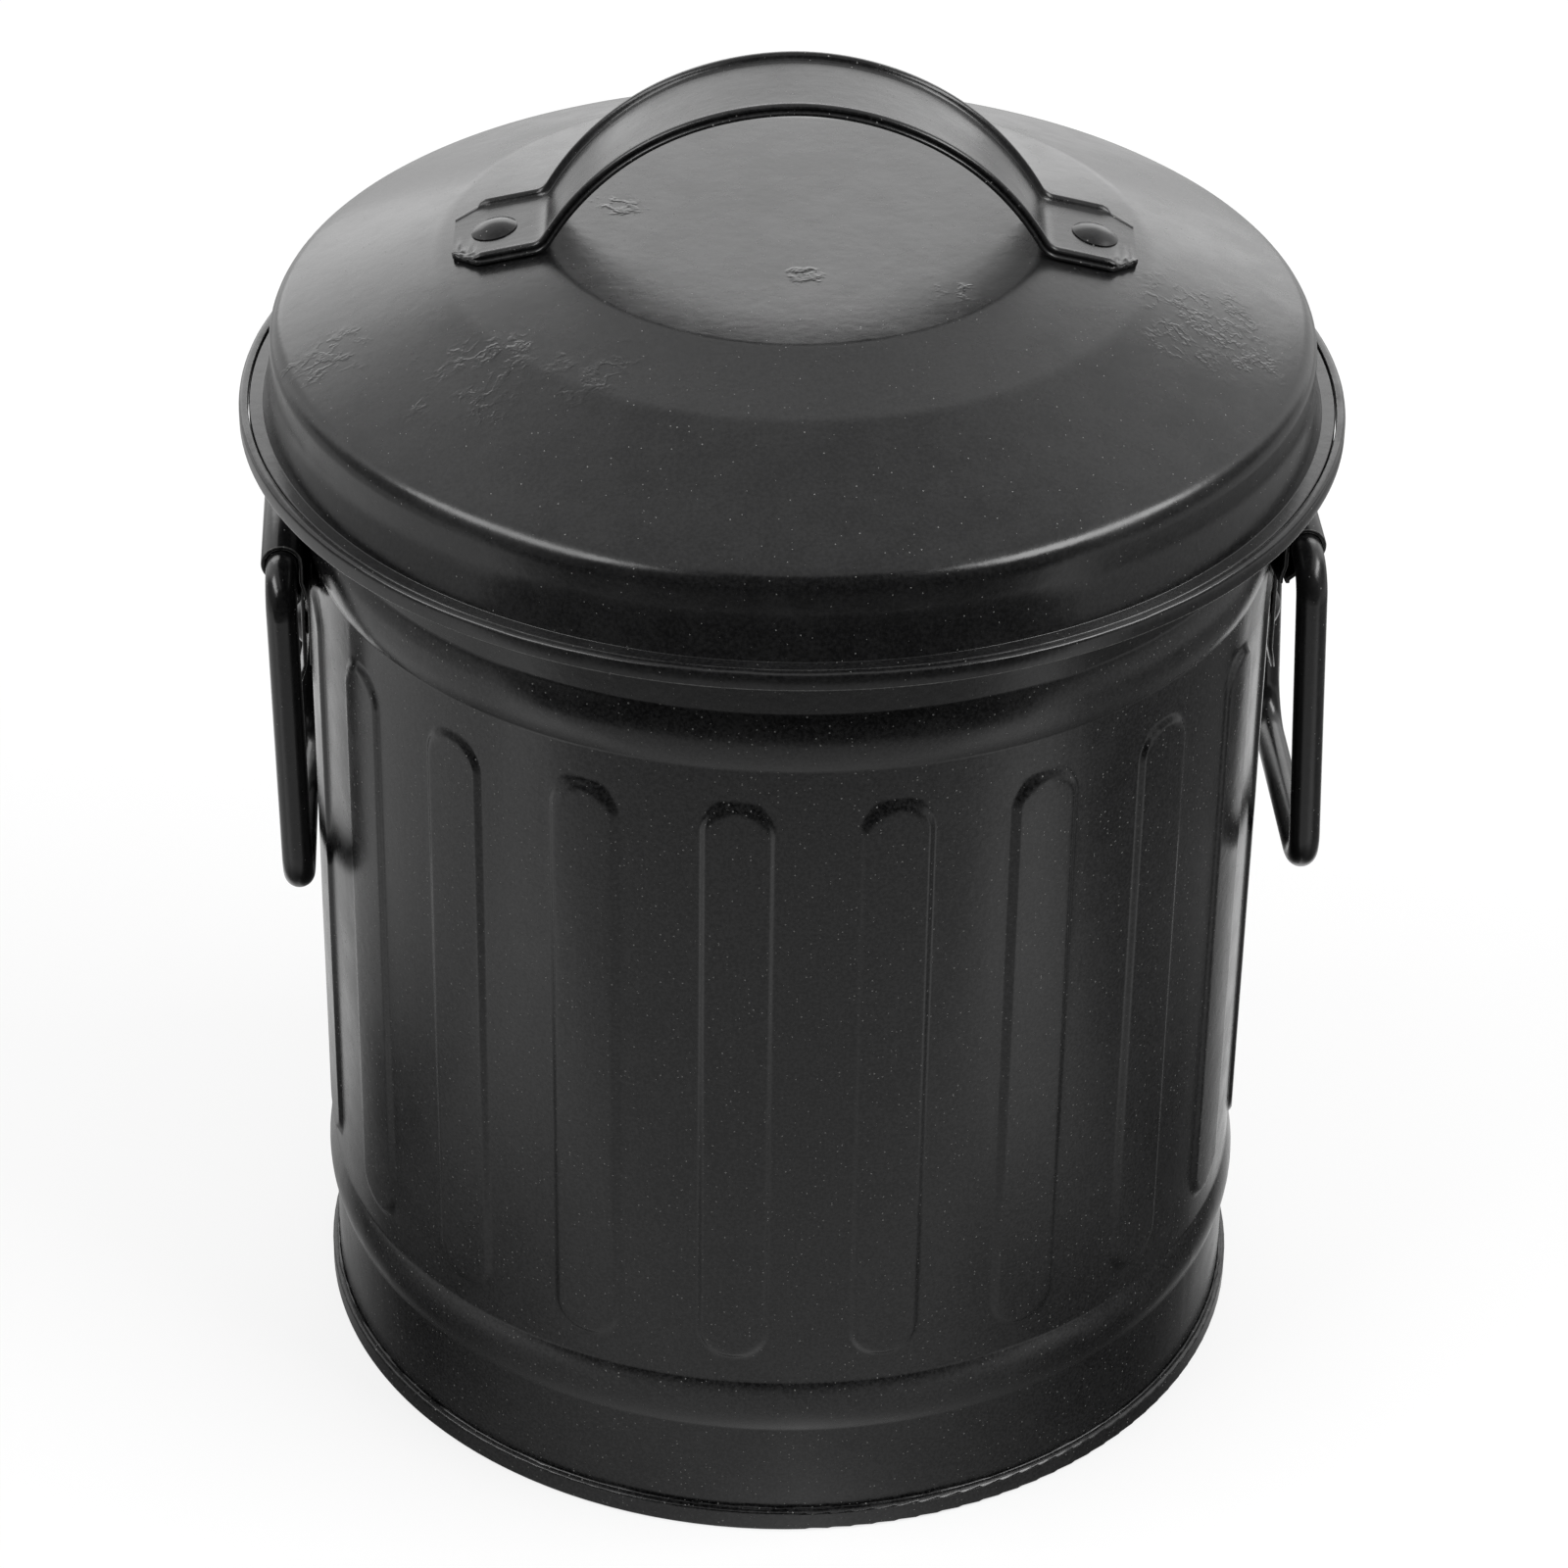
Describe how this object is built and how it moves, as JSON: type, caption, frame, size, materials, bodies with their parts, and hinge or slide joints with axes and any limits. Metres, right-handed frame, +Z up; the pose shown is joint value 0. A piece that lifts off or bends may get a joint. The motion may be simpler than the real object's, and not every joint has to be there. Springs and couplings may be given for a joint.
{
  "type": "desktop trash can",
  "caption": "Small black metal dustbin with a fluted, beaded can, a loose domed lid with a riveted strap handle, and wire bail handles hanging in brackets at the sides.",
  "frame": {"origin": "On the floor under the middle of the can.", "axes": "+Z is up. -Y is the front, where the viewer stands. The bail handles hang at the ends of the X axis, the right one on +X."},
  "size_m": [0.1302, 0.1302, 0.1669],
  "materials": {
    "can_paint": "satin",
    "lid_paint": "satin",
    "fittings_paint": "satin"
  },
  "bodies": {
    "can": {"can_wall": "can_paint", "can_base": "can_paint", "left_bracket": "fittings_paint", "right_bracket": "fittings_paint", "left_bracket_rivet": "fittings_paint", "right_bracket_rivet": "fittings_paint"},
    "lid": {"lid_shell": "lid_paint", "lid_handle": "fittings_paint", "left_lid_rivet": "fittings_paint", "right_lid_rivet": "fittings_paint"},
    "left_handle": {"left_bail": "fittings_paint"},
    "right_handle": {"right_bail": "fittings_paint"}
  },
  "joints": [
    {"name": "lid_lift", "type": "slide", "parent": "can", "child": "lid", "axis": [0, 0, 1], "range_m": [0, 0.08]},
    {"name": "left_handle_swing", "type": "hinge", "parent": "can", "child": "left_handle", "pos_m": [-0.06042, 0, 0.111], "axis": [0, 1, 0], "range_deg": [-0.1, 160]},
    {"name": "right_handle_swing", "type": "hinge", "parent": "can", "child": "right_handle", "pos_m": [0.06042, 0, 0.111], "axis": [0, -1, 0], "range_deg": [-3.3, 157]}
  ]
}
